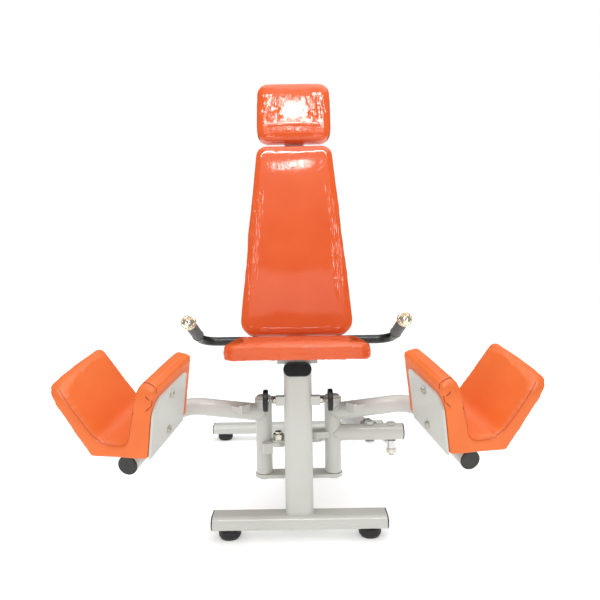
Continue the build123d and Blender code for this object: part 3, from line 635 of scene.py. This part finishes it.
def make_cradle_cushion(place):
    cushion = pad_from("right_cradle_pad", place, MATERIALS["cradle_leather"], smooth=9)
    points = local(coordinates(cushion.data), place)
    inflate(cushion, (points[:, 1] < 0.04) | (points[:, 0] < -0.055 - (points[:, 1] - 0.03) * 0.19), 0.004)
    finished(cushion, "SUBSURF", levels=1)
    points = local(coordinates(cushion.data), place)
    swell = ripple(points, (11, 11, 9), 2.3) * 0.0014
    write(cushion.data, coordinates(cushion.data) + normals(cushion.data) * (swell - 0.0006)[:, None])
    seams = []
    # The nose and dart seams get the dark thread, which also carries painted shade for their grooves; the trough
    # seam gets orange thread
    for name, route, thread_colour in (("right_trough_seam", TROUGH_SEAM, ORANGE_SEAM),
                                       ("right_nose_seam", NOSE_SEAM, SEAM_THREAD_AND_PAINTED_SHADE),
                                       ("right_dart_seam", DART_SEAM, SEAM_THREAD_AND_PAINTED_SHADE)):
        line = smooth_path([place @ Vector(p) for p in route])
        press_line(cushion, onto_surface(cushion, line), 0.0045, 0.0016)
        seams.append(tube_along(name, onto_surface(cushion, line, 0.0003), 0.0009, thread_colour, sides=6))
    return cushion, seams


def make_cradles():
    place = cradle_frame()
    right, seams = make_cradle_cushion(place)
    left = mirrored_copy(right, "left_cradle_cushion")
    for side, cushion in (("right", right), ("left", left)):
        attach(cushion, side + "_arm")
        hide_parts(side + "_cradle_pad")
    for seam in seams:
        twin = mirrored_copy(seam, seam.name.replace("right", "left"))
        for piece, side in ((seam, "right"), (twin, "left")):
            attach(piece, side + "_arm")


# ---------------------------------------------------------------- hand grips
def make_grips():
    along = (HANDLE_TIP - HANDLE_CORNER).normalized()
    start = HANDLE_TIP - along * (GRIP_LENGTH + CAP_THICKNESS)
    radius = 0.0176
    steps = 110

    def knurl(distance, angle):
        inner = step(np.array(distance), 0.006, 0.010) * (1 - step(np.array(distance), 0.148, 0.152))
        weave = math.sin(14 * angle + distance * 900) * math.sin(14 * angle - distance * 900)
        return float(inner) * 0.00055 * weave

    rings = [(0.0, 0.0152), (0.0, 0.0186), (0.001, 0.0192), (0.004, 0.0192), (0.005, radius)]
    rings += [(0.006 + 0.146 * i / steps, radius) for i in range(steps + 1)]
    rings += [(0.153, radius), (0.154, 0.0190), (GRIP_LENGTH - 0.0005, 0.0190), (GRIP_LENGTH - 0.0002, 0.0152)]
    grip = lathe("right_grip", start, along, rings, MATERIALS["grip_rubber"], 84, knurl)
    tip = HANDLE_TIP - along * CAP_THICKNESS
    ring = [(0.0, 0.0165), (0.0, 0.0215), (0.0012, 0.0228), (0.0035, 0.0232), (0.0075, 0.0232), (0.0102, 0.0225),
            (0.0118, 0.0208), (0.0120, 0.0190), (0.0112, 0.0174), (0.0095, 0.0168)]
    rim = lathe("right_cap_ring", tip, along, ring, GOLD_RING)
    dish = [(0.0020, 0.0166), (0.0094, 0.0166), (0.0090, 0.0150), (0.0078, 0.0120), (0.0074, 0.0095),
            (0.0078, 0.0076), (0.0096, 0.0066), (0.0108, 0.0050), (0.0114, 0.0028), (0.0116, 0.0004)]
    face = lathe("right_cap_dish", tip, along, dish, MATERIALS["cap_chrome"])
    for piece, node, slot in ((grip, "handle_grips", "grip_rubber"), (rim, "handle_end_caps", "cap_chrome"),
                              (face, "handle_end_caps", "cap_chrome")):
        twin = mirrored_copy(piece, piece.name.replace("right", "left"))
        for one in (piece, twin):
            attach(one, "frame")
            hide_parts(node)


# ---------------------------------------------------------------- threads and welds
def thread(name, start, along, radius, length, body, pitch=0.0015):
    """A rod with a real helical thread."""
    per_turn = 6
    count = int(length / pitch * per_turn)

    def groove(distance, angle):
        phase = (distance / pitch - angle / (2 * math.pi)) % 1
        return -0.0009 * abs(2 * phase - 1) * min(1.0, distance / pitch, (length - distance) / pitch)

    rings = [(length * i / count, radius) for i in range(count + 1)]
    piece = lathe(name, start, along, rings, MATERIALS["zinc_steel"], 28, groove)
    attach(piece, body)
    return piece


def make_threads():
    for side, sign in (("right", 1), ("left", -1)):
        node = side + "_stop_screw"
        low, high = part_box(node)
        middle = (low + high) / 2
        start = Vector((low.x if sign > 0 else high.x, middle.y, middle.z))
        piece = thread(node + "_thread", start, Vector((sign, 0, 0)), STOP_SCREW_RADIUS, high.x - low.x,
                       side + "_stop")
        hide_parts(node)


def slot_outline(half_width, radius, count=20):
    """Points round a flat-oval section centred on the origin, (x, y)."""
    flat = half_width - radius
    points = []
    for centre, turn in ((flat, -math.pi / 2), (-flat, math.pi / 2)):
        for i in range(count + 1):
            angle = turn + math.pi * i / count
            points.append((centre + radius * math.cos(angle), radius * math.sin(angle)))
    return points


def even_loop(points, spacing=0.0012):
    """A closed line with evenly spaced points."""
    line = []
    for one, two in zip(points, points[1:] + points[:1]):
        count = max(1, round((two - one).length / spacing))
        line += [one.lerp(two, i / count) for i in range(count)]
    return line


def weld(name, line, body):
    """A closed, rippled bead."""
    bead = tube_along(name, line, WELD_RADIUS, MATERIALS["white_paint"], closed=True, beads=0.10, pitch=0.0042)
    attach(bead, body)


def make_welds():
    half, radius = 0.040, 0.020
    for name, node in (("column_foot_weld", "column_tube"), ("post_foot_weld", "rear_post")):
        low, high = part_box(node)
        y = (low.y + high.y) / 2
        loop = [Vector((px, y + py, low.z + 0.0008)) for px, py in slot_outline(half, radius)]
        weld(name, even_loop(loop), "frame")
    for side, sign in (("right", 1), ("left", -1)):
        low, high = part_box(side + "_pivot_tube")
        centre = Vector(((low.x + high.x) / 2, (low.y + high.y) / 2, 0))
        weld(side + "_arm_weld", saddle(centre, Vector((ARM_ELBOW.x * sign, ARM_ELBOW.y, ARM_ELBOW.z)),
                                        ARM_HEIGHT, ARM_RADIUS), side + "_arm")
        if sign > 0:
            weld("lever_weld",
                 saddle(centre, Vector((1, centre.y, LEVER_HEIGHT)), LEVER_HEIGHT, LEVER_RADIUS), "right_arm")


def saddle(centre, towards, height, radius):
    """The line where a round branch tube leaves the upright pivot tube."""
    root = Vector((centre.x, centre.y, height))
    along = (towards - root).normalized()
    side = along.orthogonal().normalized()
    other = along.cross(side)
    line = []
    for i in range(130):
        angle = 2 * math.pi * i / 130
        offset = (side * math.cos(angle) + other * math.sin(angle)) * radius
        flat, run = Vector((offset.x, offset.y)), Vector((along.x, along.y))
        b = flat.dot(run) / run.length_squared
        c = (flat.length_squared - PIVOT_RADIUS ** 2) / run.length_squared
        line.append(root + offset + along * (-b + math.sqrt(max(b * b - c, 0))))
    return line


# ---------------------------------------------------------------- stage
def make_floor():
    bm = bmesh.new()
    corners = ((-1, -1), (1, -1), (1, 1), (-1, 1))
    bm.faces.new([bm.verts.new((x * FLOOR_HALF, y * FLOOR_HALF, 0)) for x, y in corners])
    mesh = bpy.data.meshes.new("floor")
    bm.to_mesh(mesh)
    bm.free()
    new_object("floor", mesh, floor_paint())


def area_light(name, place, target, size, power, diffuse=True, glossy=True):
    lamp = bpy.data.lights.new(name, "AREA")
    lamp.shape = "RECTANGLE"
    lamp.size, lamp.size_y = size
    lamp.energy = power
    obj = bpy.data.objects.new(name, lamp)
    SCENE.collection.objects.link(obj)
    obj.location = place
    obj.rotation_euler = (Vector(target) - Vector(place)).to_track_quat("-Z", "Y").to_euler()
    obj.visible_diffuse = diffuse
    obj.visible_glossy = glossy
    return obj


def make_lights():
    world = bpy.data.worlds.new("studio")
    world.use_nodes = True
    world.node_tree.nodes["Background"].inputs["Color"].default_value = (1, 1, 1, 1)
    world.node_tree.nodes["Background"].inputs["Strength"].default_value = 1.0
    world.cycles_visibility.glossy = False
    SCENE.world = world
    area_light("key", (-0.9, -2.2, 2.9), (0, 0, 0.5), (2.2, 1.6), 9, glossy=False)
    area_light("top", (0.4, 0.2, 3.4), (0, 0, 0.5), (2.6, 2.6), 46)
    # Bright cards that show only in gloss: a window on the headrest, a crescent high on the backrest, strips on
    # the backrest's sides, a haze low on the backrest and a card in front of the seat's edge
    area_light("window", (0, -1.95, 3.42), (0, 0.2, 1.3), (1.7, 0.32), 60, diffuse=False)
    area_light("crescent", (0, -1.95, 2.94), (0, 0.2, 1.1), (0.27, 0.06), 1.8, diffuse=False)
    area_light("front", (0, -4.5, 1.02), (0, 0, 0.5), (3.0, 0.35), 22, diffuse=False)
    for name, x in (("left_strip", -0.8), ("right_strip", 0.8)):
        area_light(name, (x, -1.95, 2.2), (0, 0, 0.9), (0.10, 0.9), 7, diffuse=False)
    area_light("room", (0, -4.2, 2.75), (0, 0, 0.8), (1.7, 0.58), 3.6, diffuse=False)


def make_camera():
    data = bpy.data.cameras.new("camera")
    data.lens = 36
    data.sensor_width = 36
    data.shift_x, data.shift_y = CAMERA_SHIFT
    camera = bpy.data.objects.new("camera", data)
    SCENE.collection.objects.link(camera)
    level = Matrix.Rotation(math.pi / 2, 4, "X")
    camera.matrix_world = Matrix.Translation(CAMERA_PLACE) @ Matrix.Rotation(CAMERA_ROLL, 4, "Y") @ level
    SCENE.camera = camera


make_camera()
make_lights()
make_floor()
SCENE.view_settings.view_transform = "Standard"
dress_cad_nodes()
make_seat_cushions()
make_cradles()
make_grips()
make_threads()
make_welds()
